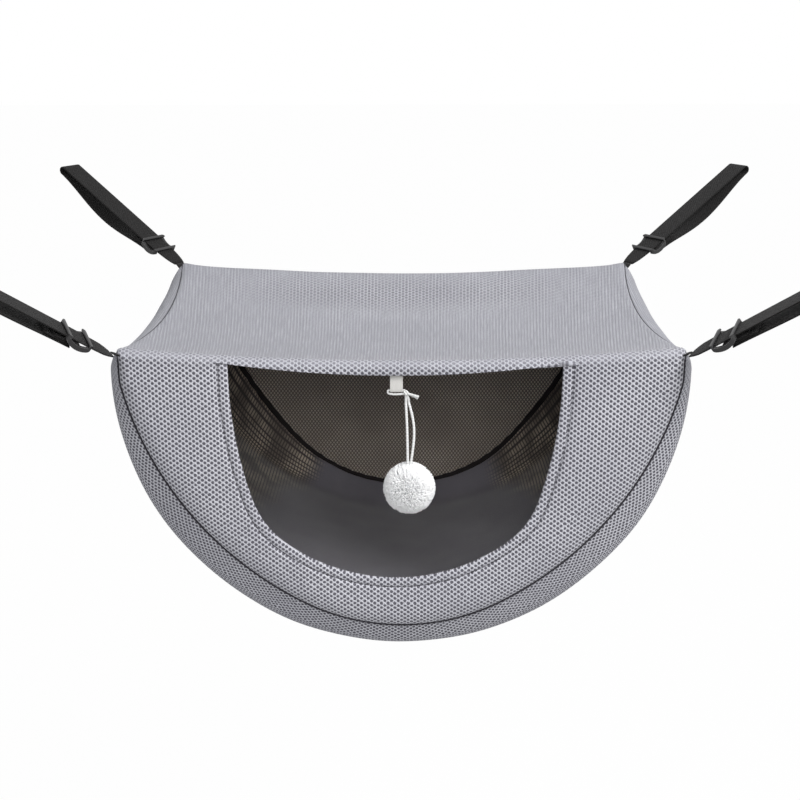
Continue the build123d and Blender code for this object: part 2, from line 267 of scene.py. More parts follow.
class Shader(Nodes):
    def __init__(self, name):
        self.material = bpy.data.materials.new(name)
        self.material.use_nodes = True
        super().__init__(self.material.node_tree)
        self.surface = self.tree.nodes["Principled BSDF"]

    def set(self, name, value):
        self.put(self.surface.inputs[name], value)

    def bump(self, height, distance, strength=1.0):
        values = {"Height": height, "Distance": distance * mm, "Strength": strength}
        self.set("Normal", self.make("ShaderNodeBump", values))


def colour(red, green, blue):
    """A colour given as it looks on a screen, from 0 to 255."""
    def linear(value):
        share = value / 255
        return share / 12.92 if share <= 0.04045 else ((share + 0.055) / 1.055) ** 2.4
    return (linear(red), linear(green), linear(blue), 1.0)


def darker(tone, share):
    return tuple(share * value for value in tone[:3]) + (1.0,)


def cloth_finish(shader, sheen, roughness=0.9):
    shader.set("Roughness", roughness)
    shader.set("Specular IOR Level", 0.15)
    shader.set("Sheen Weight", sheen)
    shader.set("Sheen Roughness", 0.5)
    shader.set("Sheen Tint", (1, 1, 1, 1))
    return shader.material


# Air mesh: diagonal threads round staggered round holes, this far apart across and along the cloth
hole_pitch = (4.9, 3.7)
hole_edges = (1.38, 0.82)


def air_mesh(name, light, shade, hole):
    shader = Shader(name)
    cloth, lid_and_shade = shader.attribute("cloth"), shader.attribute("lid_and_shade", "Fac")
    across, along = shader.cells(cloth, *hole_pitch)
    first, second = [shader.maths("FRACT", place + 0.5) - 0.5 for place in (across + along, across - along)]
    # The place in a hole's own diamond, in millimetres from the hole's middle
    x, y = [place * (pitch / 2) for place, pitch in zip((first + second, first - second), hole_pitch)]
    reach = shader.maths("SQRT", x * x + y * y)
    uneven = shader.noise(cloth, 0.35).spread(0.3, 0.7, -0.12, 0.12)
    # How far into a hole. The holes are painted dark: partly the cloth's inner layer seen through them, partly
    # painted shade inside them. Where the holes close up they take less of it.
    depth = (reach + uneven).spread(*hole_edges) * lid_and_shade.spread(0.0, 1.0, 1.0, 0.16)
    bright, shaded_diagonal = [abs(offset).spread(0.28, 0.5) for offset in (first, second)]
    tone = shader.noise(cloth, 0.012, 3.0).spread(0.3, 0.7)
    fibre = shader.noise(cloth, 2.6, 3.0, 0.7).spread(0.3, 0.7)
    threads = shader.mix(tone * 0.6, light, shade)
    threads = shader.mix(fibre * 0.3, threads, shade)
    # One diagonal's threads are painted darker than the other's: painted shade, for how the light falls across the
    # knit.
    threads = shader.mix(shaded_diagonal * 0.35, threads, shade)
    # On the roof the columns of holes close up to ribs, with streaks along them. There the threads are also painted
    # darker all over, and darker in the grooves between the ribs: painted shade on the upward-facing cloth.
    rib = (across * 2.2).off_middle().spread(0.1, 0.42)
    streak = shader.noise(shader.vector("MULTIPLY", cloth, (1.6, 0.03, 1.0)), 1.0, 3.0).spread(0.35, 0.65)
    threads = shader.mix((rib * 0.5 + (streak * 0.5 + 0.42)) * lid_and_shade, threads, darker(shade, 0.72))
    shader.set("Base Color", shader.mix(depth, threads, hole))
    shader.bump(fibre * 0.12 - depth + bright * 0.25 - rib * lid_and_shade * 0.35, 0.8, 0.7)
    return cloth_finish(shader, 0.12)


def fine_mesh_lit_openings(shader, cloth):
    """How light the small openings of the fine mesh are, in streaks down the cloth: painted light, as if light came
    through them from outside.
    """
    across, along = shader.cells(cloth, 3.1, 2.4)
    gap = shader.maths("MAXIMUM", across.off_middle(), along.off_middle()).spread(0.42, 0.22)
    streaks = shader.noise(shader.vector("MULTIPLY", cloth, (0.04, 0.06, 1.0)), 1.0)
    return gap * streaks.spread(0.35, 0.65, 0.25, 1.0)


def lining_mesh():
    shader = Shader("lining_mesh")
    share = fine_mesh_lit_openings(shader, shader.attribute("cloth"))
    # Dark threads, with openings painted light as if lit from outside through them.
    shader.set("Base Color", shader.mix(share, colour(96, 89, 86), colour(214, 200, 182)))
    shader.bump(share, 0.3, 0.4)
    return cloth_finish(shader, 0.05)


def back_mesh():
    shader = Shader("back_mesh")
    cloth = shader.attribute("cloth")
    across, along = shader.cells(cloth, 3.1, 4.2)
    lines = [place.off_middle() for place in (across + along, across - along)]
    gap = shader.maths("MINIMUM", *lines).spread(0.08, 0.3)
    cloud = shader.noise(cloth, 0.02).spread(0.3, 0.7, 0.7, 1.0)
    # The openings are painted light, as if lit from behind through them; they also let a little real light through.
    shader.set("Base Color", shader.mix(gap * cloud, colour(120, 109, 102), colour(228, 216, 201)))
    shader.set("Alpha", gap.spread(0.3, 1.0, 1.0, 0.84))
    shader.bump(gap, -0.3, 0.5)
    return cloth_finish(shader, 0.05)


def floor_cloth():
    shader = Shader("floor_cloth")
    cloth = shader.attribute("cloth")
    cloud = shader.noise(cloth, 0.016, 3.0).spread(0.3, 0.7)
    nap = shader.noise(cloth, 1.4, 3.0, 0.7).spread(0.3, 0.7)
    brushed = shader.mix(cloud, colour(126, 123, 130), colour(140, 137, 144))
    brushed = shader.mix(nap * 0.3, brushed, colour(104, 102, 108))
    # Higher up the sides the pad is faced with fine mesh, with light streaks: its openings are painted light, as if
    # light came through them from outside.
    length, depth, _ = shader.axes(cloth)
    border = shader.noise(cloth, 0.02) * 24.0 + (depth * -0.45 + 146.0)
    meshed = (abs(length) - border).spread(-16.0, 16.0)
    faced_lit_openings = shader.mix(fine_mesh_lit_openings(shader, cloth), colour(92, 85, 82), colour(216, 202, 184))
    shader.set("Base Color", shader.mix(meshed, brushed, faced_lit_openings))
    shader.bump(nap, 0.15, 0.4)
    return cloth_finish(shader, 0.5)


def woven(name, dark, light, rib, cross, relief, sheen=0.15):
    """Narrow woven goods: ribs across the width, laid over and under each other. The beads' tops are painted lighter
    than the hollows between them, at random strength: painted highlight and shade of the weave.
    """
    shader = Shader(name)
    cloth = shader.attribute("cloth")
    along, across = shader.cells(cloth, rib, cross)
    shifted = along + shader.maths("FLOOR", across) * 0.5
    bead_and_highlight = shifted.off_middle().spread(0.5, 0.1) * across.off_middle().spread(0.5, 0.1)
    # Painted highlight on the beads and painted shade in the hollows between them.
    shader.set("Base Color", shader.mix(bead_and_highlight * shader.noise(cloth, 1.8), dark, light))
    shader.bump(bead_and_highlight, relief, 0.8)
    return cloth_finish(shader, sheen, 0.75)


def slider_plastic():
    shader = Shader("slider_plastic")
    place = shader.place()
    grain = shader.noise(place, 2600.0)
    bevel = shader.make("ShaderNodeBevel", {"Radius": 0.35 * mm}, samples=4)
    flat = shader.make("ShaderNodeNewGeometry", output="Normal")
    edge = shader.vector("DOT_PRODUCT", bevel, flat, output="Value").spread(0.995, 0.90)
    # The edges are painted lighter, broken up at random: a painted highlight along the rims.
    edge_highlight = edge * shader.noise(place, 380.0, 3.0).spread(0.3, 0.6, 0.35, 1.0)
    shader.set("Base Color", shader.mix(edge_highlight, colour(22, 21, 22), colour(118, 117, 118)))
    shader.set("Roughness", grain.spread(0.3, 0.7, 0.34, 0.48))
    shader.bump(grain, 0.05, 0.3)
    return shader.material


def pompom_yarn():
    shader = Shader("pompom_yarn")
    along = shader.axes(shader.attribute("cloth"))[0].spread(0.0, 1.0)
    # The yarn is painted slightly darker towards its root in the ball's middle: painted shade inside the ball.
    shader.set("Base Color", shader.mix(along, colour(244, 246, 248), colour(255, 255, 255)))
    shader.set("Subsurface Weight", 0.4)
    shader.set("Subsurface Radius", (0.004, 0.004, 0.004))
    return cloth_finish(shader, 0.8)


def thread(name, tone):
    shader = Shader(name)
    twist = shader.noise(shader.place(), 1500.0).spread(0.3, 0.7)
    shader.set("Base Color", shader.mix(twist, tone, darker(tone, 0.55)))
    shader.bump(twist, 0.1, 0.5)
    return cloth_finish(shader, 0.1)


def strand_cord():
    shader = Shader("elastic_cord_strand")
    height = shader.axes(shader.place())[2]
    plait_and_shade = shader.maths("SINE", height * 5200.0).spread(-1.0, 1.0)
    # The plait's grooves are painted darker than its ridges: painted shade, with a painted highlight on the ridges.
    shader.set("Base Color", shader.mix(plait_and_shade, colour(208, 208, 207), colour(240, 240, 238)))
    shader.bump(plait_and_shade, 0.12, 0.6)
    return cloth_finish(shader, 0.2)


materials = {
    # Each air mesh: its threads' two colours, then its holes' colour, which is dark partly with painted shade.
    "air_mesh": air_mesh("air_mesh", colour(203, 203, 209), colour(176, 176, 184), colour(90, 88, 96)),
    # The band's copy is a little darker: painted shade for the band's sides and floor, which turn away from the
    # light.
    "air_mesh_band": air_mesh("air_mesh_band", colour(200, 200, 206), colour(174, 174, 182), colour(80, 78, 86)),
    "lining_mesh": lining_mesh(),
    "back_mesh": back_mesh(),
    "floor_cloth": floor_cloth(),
    # Woven goods: the darker colour lies in the weave's hollows as painted shade, the lighter on its beads as painted
    # highlight.
    "binding_tape": woven("binding_tape", colour(40, 35, 35), colour(76, 70, 70), 1.2, 1.6, 0.2),
    "webbing": woven("webbing", colour(15, 14, 14), colour(40, 38, 38), 2.2, 1.25, 0.35, 0.05),
    "cotton_tape": woven("cotton_tape", colour(196, 194, 190), colour(228, 226, 223), 0.9, 0.9, 0.15),
    "elastic_cord": woven("elastic_cord", colour(206, 206, 204), colour(240, 240, 238), 1.1, 0.9, 0.15),
    "elastic_cord_strand": strand_cord(),
    "slider_plastic": slider_plastic(),
    "pompom_yarn": pompom_yarn(),
    # Also the colour of the dark tubes in the front and roof seams, which are painted shade.
    "seam_thread_and_shade_lines": thread("seam_thread_and_shade_lines", colour(58, 56, 62)),
    "hem_thread": thread("hem_thread", colour(104, 102, 108)),
}


def add(name, data):
    made = bpy.data.objects.new(name, data)
    bpy.context.scene.collection.objects.link(made)
    return made


def piece(name, points, faces, finish, nodes=(), body="cabin", cloth=(), lid_and_shade=()):
    """A mesh from points in millimetres, on its body, with the cloth's own flat coordinates kept on it."""
    mesh = bpy.data.meshes.new(name)
    mesh.from_pydata([[value * mm for value in point] for point in points], [], faces)
    layer = mesh.attributes.new("cloth", "FLOAT_VECTOR", "POINT")
    for item, (across, along) in zip(layer.data, cloth):
        item.vector = (across, along, 0)
    if lid_and_shade:
        layer = mesh.attributes.new("lid_and_shade", "FLOAT", "POINT")
        for item, share in zip(layer.data, lid_and_shade):
            item.value = share
    mesh.materials.append(materials[finish])
    for polygon in mesh.polygons:
        polygon.use_smooth = True
    mesh.update()
    made = add(name, mesh)
    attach(made, body)
    if nodes:
        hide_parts(*nodes)
    return made


def thicken(made, thickness, smooth=1):
    """Gives a sheet its thickness, inward from its outer side, and one smoothing step."""
    solid = made.modifiers.new("thickness", "SOLIDIFY")
    solid.thickness = thickness * mm
    solid.offset = -1
    if smooth:
        made.modifiers.new("smooth", "SUBSURF").levels = smooth
        made.modifiers["smooth"].render_levels = smooth


def turn_outward(made):
    """Turns the whole sheet over if most of its faces look towards the middle of the cabin."""
    mesh = made.data
    if sum((polygon.center - cabin_middle).dot(polygon.normal) * polygon.area for polygon in mesh.polygons) < 0:
        mesh.flip_normals()


def turn_tube(made):
    """Makes a closed mesh's faces look outward."""
    work = bmesh.new()
    work.from_mesh(made.data)
    bmesh.ops.recalc_face_normals(work, faces=work.faces)
    work.to_mesh(made.data)
    work.free()
    made.data.update()


def grid_faces(rows, columns, start=0, closed=False, flip=False):
    faces = []
    for row in range(rows - 1):
        for column in range(columns if closed else columns - 1):
            after = (column + 1) % columns
            corners = [start + row * columns + column, start + row * columns + after,
                       start + (row + 1) * columns + after, start + (row + 1) * columns + column]
            faces.append(corners[::-1] if flip else corners)
    return faces


def ease(value, start, end):
    share = min(1.0, max(0.0, (value - start) / (end - start)))
    return share * share * (3 - 2 * share)


def quarter(distance, width):
    """How far a rounded rim falls away at this distance from its edge: 1 at the edge, 0 from width on."""
    share = 1 - min(1.0, max(0.0, distance / width))
    return 1 - sqrt(1 - share * share)


def quarter_extra(distance, width, depth):
    """How much longer the rounded rim's cloth is than its flat width, from this distance to the edge."""
    if distance >= width:
        return 0.0
    steps = 12
    length = 0.0
    before = (width, 0.0)
    for step in range(1, steps + 1):
        at = width + (distance - width) * step / steps
        now = (at, depth * quarter(at, width))
        length += hypot(now[0] - before[0], now[1] - before[1])
        before = now
    return length - (width - distance)


def rolling(x, y, z, size, reach):
    """A soft unevenness of hand-sewn cloth. The smaller the reach, the longer its waves."""
    return size * noise.noise(Vector((x, y, z)) * reach)


def running_lengths(points, size=2):
    """How long the line through the points is, up to each of them."""
    lengths = [0.0]
    for before, after in zip(points, points[1:]):
        lengths.append(lengths[-1] + dist(before[:size], after[:size]))
    return lengths


def span_at(lengths, wanted):
    """The span of a line in which a length falls, and the share of that span up to it."""
    index = min(max(bisect_left(lengths, wanted) - 1, 0), len(lengths) - 2)
    return index, (wanted - lengths[index]) / (lengths[index + 1] - lengths[index])


def resample(points, count, gather=0.0):
    """Points at even distances, or closer together towards both ends."""
    lengths = running_lengths(points)
    made = []
    for step in range(count):
        share = step / (count - 1)
        at, share = span_at(lengths, lengths[-1] * (share - gather * sin(2 * pi * share) / (2 * pi)))
        made.append(tuple(a + (b - a) * share for a, b in zip(points[at], points[at + 1])))
    return made


# The hanging outline of the cloth, as in the part: a shoulder, a straight, two side arcs and the floor arc
def hanging_arcs(half_width, corner, top, bottom, shares):
    straight_share, depth_share, first_share, second_share = shares
    drop = top - corner - bottom
    straight = straight_share * drop
    first = atan(first_share * half_width / drop)
    second = atan(second_share * half_width / drop)
    first_radius = depth_share * drop / sin(first)
    across = half_width - first_radius * (1 - cos(first))
    down = drop - straight - first_radius * sin(first)
    side_across = cos(first) - cos(second)
    side_down = sin(second) - sin(first)
    floor_down = 1 - sin(second)
    scale = side_across * floor_down - cos(second) * side_down
    side_radius = (across * floor_down - cos(second) * down) / scale
    floor_radius = (side_across * down - side_down * across) / scale
    x, z = half_width - first_radius, top - corner - straight
    arcs = [(corner, half_width - corner, top - corner, -pi / 2, 0)]
    arcs.append((first_radius, x, z, 0, first))
    x += (first_radius - side_radius) * cos(first)
    z -= (first_radius - side_radius) * sin(first)
    arcs.append((side_radius, x, z, first, second))
    arcs.append((floor_radius, 0, bottom + floor_radius, second, pi / 2))
    return arcs


def on_arc(arc, heading, inset):
    radius, x, z = arc[:3]
    reach = radius - inset
    return x + reach * cos(heading), z - reach * sin(heading)


def sag_share(y):
    distance = max(0.0, min(y - band_front, band_back - y))
    return 1 - (1 - 2 * distance / band_length) ** 2


def from_seam(y):
    """How far a place is from the nearer of the front and back seams."""
    return max(0.0, min(y - front_seam, back_seam - y))


# The seams' valleys lie a little inside the part's flat ends, so the cloth swells from there
def band_arcs(y):
    swell = sin(pi / 2 * min(1, from_seam(y) / (roll_length + band_front - front_seam)))
    nearer_back = y > (band_front + band_back) / 2
    seam_drop = back_drop if nearer_back else front_drop
    seam_shares = back_shares if nearer_back else front_shares
    shares = [seam + (belly - seam) * swell for seam, belly in zip(seam_shares, belly_shares)]
    half_width = cabin_width / 2 + belly_swell * swell
    corner = corner_round + (shoulder_round - corner_round) * swell
    bottom = -(seam_drop + (belly_drop - seam_drop) * swell)
    return hanging_arcs(half_width, corner, -shoulder_sag * sag_share(y), bottom, shares)


# One cross-section of the cloth from its right end over the floor to its left end.
# Each point has its place, the way out of the cloth there, and the cloth's length from the middle of the floor.
def cross_section(arcs, start="shoulder", counts=(6, 4, 8, 26, 26)):
    shoulder, first, side_arc, floor = arcs
    half = []
    if start == "shoulder":
        half += [(shoulder, shoulder[3] * (1 - step / counts[0])) for step in range(counts[0])]
    if start != "side":
        half += [(shoulder, 0, first, step / counts[1]) for step in range(counts[1])]
        half += [(first, first[4] * step / counts[2]) for step in range(counts[2])]
    begin = side_arc[3]
    if start == "side":
        begin += pad_start_share * (side_arc[4] - side_arc[3])
    half += [(side_arc, begin + (side_arc[4] - begin) * step / counts[3]) for step in range(counts[3])]
    half += [(floor, floor[3] + (floor[4] - floor[3]) * step / counts[4]) for step in range(counts[4] + 1)]
    points = []
    for item in half:
        x, z = on_arc(item[0], item[1], 0)
        if len(item) == 4:
            below = on_arc(item[2], 0, 0)
            z += (below[1] - z) * item[3]
        points.append((x, z, cos(item[1]), -sin(item[1])))
    lengths = running_lengths(points[::-1])[::-1]
    right = [(x, z, out_x, out_z, length) for (x, z, out_x, out_z), length in zip(points, lengths)]
    left = [(-x, z, -out_x, out_z, -length) for x, z, out_x, out_z, length in right[-2::-1]]
    return right + left


def rim_steps(width, count):
    return [width * (1 - cos(pi / 2 * step / count)) for step in range(count)]


def stations(start, end, roll, count, middle):
    """Places from one seam to the other, close together where the cloth rolls into a seam."""
    rim = rim_steps(roll, count)
    inner = [start + roll + (end - start - 2 * roll) * step / middle for step in range(middle + 1)]
    return [start + step for step in rim] + inner + [end - step for step in rim[::-1]]


def seam_tuck(y):
    """How far the cloth is drawn in towards the middle of the cabin at its seams."""
    return valley_depth * quarter(from_seam(y), band_roll)


def band_waves(x, y, z):
    return rolling(x, y, z, 0.9, 0.018)


def slope_share(y):
    """How much deeper the band's cloth is across the cabin where it slopes towards a seam."""
    return 1 + 0.8 * cos(pi / 2 * min(1.0, from_seam(y) / roll_length))


# Band: left side, floor and right side in one length, rolled into the front, back and roof seams
def shell_band():
    points, cloth, lid_and_shade = [], [], []
    places = stations(front_seam, back_seam, band_roll, 6, 56)
    full = cross_section(band_arcs(0))[0][4]
    for row, y in enumerate(places):
        section = cross_section(band_arcs(y), counts=(14, 4, 8, 26, 26))
        x, z, _, _, whole = section[0]
        tucked = [(x - inward, z - down, 0, 1, whole + extra) for inward, down, extra in band_tuck]
        section = tucked + section + [(-x, z, 0, 1, -length) for x, z, _, _, length in tucked[::-1]]
        columns = len(section)
        for x, z, out_x, out_z, length in section:
            from_top = whole - abs(length)
            inset = seam_tuck(y) + top_dip * quarter(from_top, top_roll)
            inset -= band_waves(x, y, z) * ease(from_top, 0, 30)
            points.append((x - inset * out_x, y, z - inset * out_z))
            along = cloth[-columns][1] + dist(points[-1], points[-1 - columns]) if row else 0.0
            cloth.append((length * full / whole, along))
            # Near the roof seam the band's holes close up and its threads take painted shade.
            lid_and_shade.append(min(1.0, max(0.0, 1 - from_top / plain_reach)))
    made = piece("shell_band", points, grid_faces(len(places), columns), "air_mesh_band", ["shell_panel"],
                 cloth=cloth, lid_and_shade=lid_and_shade)
    thicken(made, cloth_thickness)


def shell_lining():
    points, cloth = [], []
    places = stations(front_seam, back_seam, band_roll, 3, 36)
    for y in places:
        base = (mesh_thickness + seam_gap) * slope_share(y) + seam_tuck(y)
        for x, z, out_x, out_z, length in cross_section(band_arcs(y), "below"):
            fall = base - band_waves(x, y, z) + rolling(x, y, z, 0.5, 0.05)
            points.append((x - fall * out_x, y, z - fall * out_z))
            cloth.append((length, y))
    columns = len(points) // len(places)
    made = piece("shell_lining_mesh", points, grid_faces(len(places), columns), "lining_mesh", ["shell_lining"],
                 cloth=cloth)
    thicken(made, lining_thickness)


# Pad over the floor and lower sides: thin at its edges, and a little uneven where it was quilted down
def floor_pad():
    front_gap, back_gap = 1.0, 0.4
    start, end = front_seam + front_gap, back_seam - back_gap
    end_round, side_round = 6.0, 24.0
    end_thinner, side_thinner = 0.8, 0.72
    least = 0.7
    places = stations(start, end, end_round, 4, 34)
    top, under, cloth = [], [], []
    for y in places:
        section = cross_section(band_arcs(y), "side")
        whole = section[0][4]
        base = inside_lining * slope_share(y) + seam_tuck(y)
        for x, z, out_x, out_z, length in section:
            thin = max(end_thinner * quarter(min(y - start, end - y), end_round),
                       side_thinner * quarter(whole - abs(length), side_round))
            thick = pad_thickness * (1 - thin) + rolling(x, y, z, 1.4, 0.016) + rolling(z, x, y, 0.5, 0.05)
            fall = base + max(least, thick)
            top.append((x - fall * out_x, y, z - fall * out_z))
            under.append((x - base * out_x, y, z - base * out_z))
            cloth.append((length, y))
    rows, columns = len(places), len(section)
    faces = grid_faces(rows, columns, flip=True) + grid_faces(rows, columns, len(top))
    rim = list(range(columns)) + [row * columns + columns - 1 for row in range(1, rows)]
    rim += [(rows - 1) * columns + column for column in range(columns - 2, -1, -1)]
    rim += [row * columns for row in range(rows - 2, 0, -1)]
    for near, far in zip(rim, rim[1:] + rim[:1]):
        faces.append([near, far, far + len(top), near + len(top)])
    made = piece("floor_pad_cloth", top + under, faces, "floor_cloth", ["floor_pad"], cloth=cloth + cloth)
    made.modifiers.new("smooth", "SUBSURF").render_levels = 1


def front_outline():
    return [point[:4] for point in cross_section(band_arcs(band_front), counts=(4, 5, 6, 26, 28))]


def chord_height(x, half, end_height, sag):
    radius = (half * half + sag * sag) / (2 * sag)
    return end_height - sag + radius - sqrt(radius * radius - x * x)


def door_outline(outset, count_side, count_floor):
    arcs = hanging_arcs(door_width / 2, 0, -door_side_top, -door_drop, door_shares)
    section = cross_section(arcs, "below", (0, 5, 6, count_side, count_floor))
    return [(door_offset + x + outset * out_x, z + outset * out_z, out_x, out_z)
            for x, z, out_x, out_z, _ in section]


def roof_half(y):
    shoulder = band_arcs(y)[0]
    return shoulder[1] - seam_gap, shoulder[2] + shoulder[0]


def roof_height(x, y):
    half, end = roof_half(y)
    edge_sag = back_edge_sag if y > (band_front + band_back) / 2 else front_edge_sag
    middle = edge_sag + (roof_sag - edge_sag) * sag_share(y)
    share = min(1.0, abs(x) / half)
    return chord_height(share * half, half, end, middle + end)


def roof_edge(y):
    """Where the side of the roof's cloth ends: at the shoulder in the middle, and further out near the corners."""
    return max(roof_half(y)[0] + roof_tuck, roof_corner_reach - roof_waist * sag_share(y))


def shoulder_fall(x, y):
    """How far the cloth over the shoulder lies below the shoulder's top."""
    radius, middle = band_arcs(y)[0][:2]
    reach = min(0.95 * radius, max(0.0, abs(x) - middle))
    return radius - sqrt(radius * radius - reach * reach)


# Roof and front: one cloth that folds softly over the front edge.
# A column starts at the outer edge and ends at the doorway. The columns of the top edge go on over the roof.
def front_columns(outer):
    """Each column's two ends, the width of its roll, and how far it starts from a top corner, if at a side."""
    hem_out = hem_width - hem_cover
    inner = resample(door_outline(hem_out, 26, 28), side_columns, corner_gather)
    lengths = running_lengths(outer)
    columns = []
    for near, far, length in zip(outer, inner, lengths):
        away = min(length, lengths[-1] - length)
        roll = front_roll + low_roll * max(0.0, -near[3]) ** 2
        roll = corner_roll + (roll - corner_roll) * min(1.0, away / corner_fade)
        columns.append((near, far, roll, away))
    half = outer[0][0]
    near_side = [0.16, 0.36, 0.62]
    for step in near_side + list(range(1, top_columns)) + [top_columns - near for near in near_side[::-1]]:
        share = 1 - 2 * step / top_columns
        x_out, door_x = -half * share, -(door_width / 2 + hem_out) * share
        z_in = -door_side_top
        if abs(door_x) < door_width / 2:
            z_in = chord_height(door_x, door_width / 2, -door_side_top, door_middle_top - door_side_top)
        columns.append(((x_out, chord_height(x_out, half, 0, front_edge_sag), 0, 1),
                        (door_offset + door_x, z_in, 0, 1), fold_roll, None))
    return columns


def front_point(row, half, near, far, roll, away):
    """A point of the front's cloth, its flat coordinates, and how closed the holes are there, which also sets how
    much painted shade its threads take.
    """
    at_side = away is not None
    across, down = far[0] - near[0], far[1] - near[1]
    long = hypot(across, down)
    slant = abs(across * near[2] + down * near[3]) / long
    first = valley_depth * ease(away, 0, corner_start) / max(slant, least_slant) if at_side else 0.0
    roll_long = min(roll / max(slant, least_slant), longest_roll_share * long)
    if row < rim_rows:
        distance = rim_steps(roll_long, rim_rows)[row]
    else:
        distance = roll_long + (long - roll_long - first) * (row - rim_rows) / flat_rows
    travelled = min(long, first + distance)
    x, z = near[0] + across * travelled / long, near[1] + down * travelled / long
    below_edge = max(0.0, chord_height(x, half, 0, front_edge_sag) - z)
    depth = front_seam - front_face + front_bulge
    fall = max(quarter(below_edge, fold_roll), quarter(distance, roll_long) if at_side else 0.0)
    left = long - travelled
    y = front_face - front_bulge + depth * fall + hem_dip * quarter(left, hem_dip_width)
    y -= rolling(x, 0, z, 1.0, 0.016) * (1 - fall) * min(1.0, left / 12)
    extra = 0.0
    if at_side:
        extra = quarter_extra(distance * slant, roll_long * slant, depth) * ease(away, *corner_stretch)
    flat = (x + extra * near[2], z + extra * near[3] + quarter_extra(below_edge, fold_roll, depth))
    return (x, y, z), flat, 0.5 * ease(below_edge, 10, 0)


def roof_point(y, half, start, along):
    """The same for the roof's cloth, where the column from this start crosses y."""
    x0, y0, z0 = start
    beyond = y - y0
    edge_x = roof_edge(y)
    x = x0 * edge_x / half
    deep = 0.2 + 0.8 * ease(beyond, 15, 60)
    dip = max(roof_tuck_dip * deep * quarter(edge_x - abs(x), roof_tuck_roll),
              roof_end_dip * quarter(roof_end - y, roof_end_roll))
    z = roof_height(x, y) - shoulder_fall(x, y) - dip
    half_here = roof_half(y)[0]
    z += roof_lap * ease(abs(x), half_here - 10, half_here) * min(1.0, beyond / 4)
    z += (z0 - roof_height(x0, band_front)) * exp(-beyond / front_edge_fade)
    z += rolling(x, y, 5, 1.2, 0.014) * ease(edge_x - abs(x), 0, 25) * min(1.0, beyond / 20)
    flat = (x / (1 + 0.25 * max(0.0, beyond) / cabin_depth), along + beyond)
    opened = open_share * exp(-((y - open_place) / open_depth) ** 2) * exp(-(x / open_half_width) ** 4)
    return (x, y, z), flat, min(1.0, 0.5 + beyond / 12) - opened


def roof_and_front():
    outer = resample(front_outline(), side_columns, corner_gather)
    half = outer[0][0]
    columns = front_columns(outer)
    rows = rim_rows + flat_rows + 1
    laid = [front_point(row, half, *column) for row in range(rows) for column in columns]
    faces = grid_faces(rows, len(columns), closed=True)
    # The roof goes on from the first row's top edge, corner to corner
    edge = [side_columns - 1] + list(range(side_columns, len(columns))) + [0]
    before = edge
    for step in range(1, roof_rows + 1):
        y = front_seam + (roof_end - front_seam) * step / roof_rows
        after = list(range(len(laid), len(laid) + len(edge)))
        laid += [roof_point(y, half, laid[index][0], laid[index][1][1]) for index in edge]
        for column in range(len(edge) - 1):
            faces.append([before[column + 1], before[column], after[column], after[column + 1]])
        before = after
    points, cloth, lid_and_shade = zip(*laid)
    made = piece("roof_and_front_cloth", points, faces, "air_mesh", ["roof_panel", "front_panel"],
                 cloth=cloth, lid_and_shade=lid_and_shade)
    turn_outward(made)
    thicken(made, cloth_thickness)


# Back: fine dark mesh with its edge in the back seam
def back_panel():
    outline = resample([point[:4] for point in cross_section(band_arcs(band_back))], 140)
    half = outline[0][0]
    rows = 2 * rim_rows + flat_rows
    corner_gap, roll_share, bulge = 1.0, 0.4, 0.2
    points, cloth = [], []
    for row in range(rows):
        for index, (x, z, out_x, out_z) in enumerate(outline):
            top_x = (half - corner_gap) * (1 - 2 * index / (len(outline) - 1))
            top_z = chord_height(top_x, half, 0, back_edge_sag) - valley_depth
            x -= valley_depth * out_x
            z -= valley_depth * out_z
            long = hypot(top_x - x, top_z - z)
            roll = min(back_roll, roll_share * long)
            rims = rim_steps(roll, rim_rows)
            if row < rim_rows:
                distance = rims[row]
            elif row < rim_rows + flat_rows:
                distance = roll + (long - 2 * roll) * (row - rim_rows) / (flat_rows - 1)
            else:
                distance = long - rims[rows - 1 - row]
            share = distance / max(long, 0.001)
            x, z = x + (top_x - x) * share, z + (top_z - z) * share
            fall = quarter(min(distance, long - distance), back_roll)
            y = back_face + bulge - (back_face - back_seam) * fall + rolling(x, 3, z, 0.9, 0.02) * (1 - fall)
            points.append((x, y, z))
            cloth.append((x, z))
    made = piece("back_mesh_panel", points, grid_faces(rows, len(outline)), "back_mesh", ["back_panel"],
                 cloth=cloth)
    turn_outward(made)
    thicken(made, back_thickness, 0)


def tube(path, section, closed_ends=True):
    """Sweeps a closed section along a path. Each path item is its point, sideways and up vectors."""
    points, cloth = [], []
    length = 0.0
    for index, (centre, side, up) in enumerate(path):
        if index:
            length += (centre - path[index - 1][0]).length
        shape = section(index) if callable(section) else section
        for across, rise in shape:
            points.append(centre + side * across + up * rise)
            cloth.append((length, across))
    sides = len(shape)
    faces = grid_faces(len(path), sides, closed=True)
    if closed_ends:
        faces.append(list(range(sides))[::-1])
        faces.append([(len(path) - 1) * sides + index for index in range(sides)])
    return points, faces, cloth


def swept(name, tubes, finish, nodes=(), body="cabin"):
    """One piece from tubes, with its faces looking outward."""
    points, faces, cloth = [], [], []
    for some_points, some_faces, some_cloth in tubes:
        start = len(points)
        points += some_points
        cloth += some_cloth
        faces += [[start + index for index in face] for face in some_faces]
    made = piece(name, points, faces, finish, nodes, body, cloth)
    turn_tube(made)
    return made


def round_section(radius, count=12):
    return [(radius * cos(2 * pi * step / count), radius * sin(2 * pi * step / count)) for step in range(count)]


def superellipse(half_width, half_height, count, power=0.55):
    """A rounded rectangle, squarer the lower its power."""
    shape = []
    for step in range(count):
        turn = 2 * pi * step / count
        across = copysign(abs(cos(turn)) ** power, cos(turn))
        rise = copysign(abs(sin(turn)) ** power, sin(turn))
        shape.append((half_width * across, half_height * rise))
    return shape


def hem_path(outset):
    return resample(door_outline(outset, 40, 40), 260)


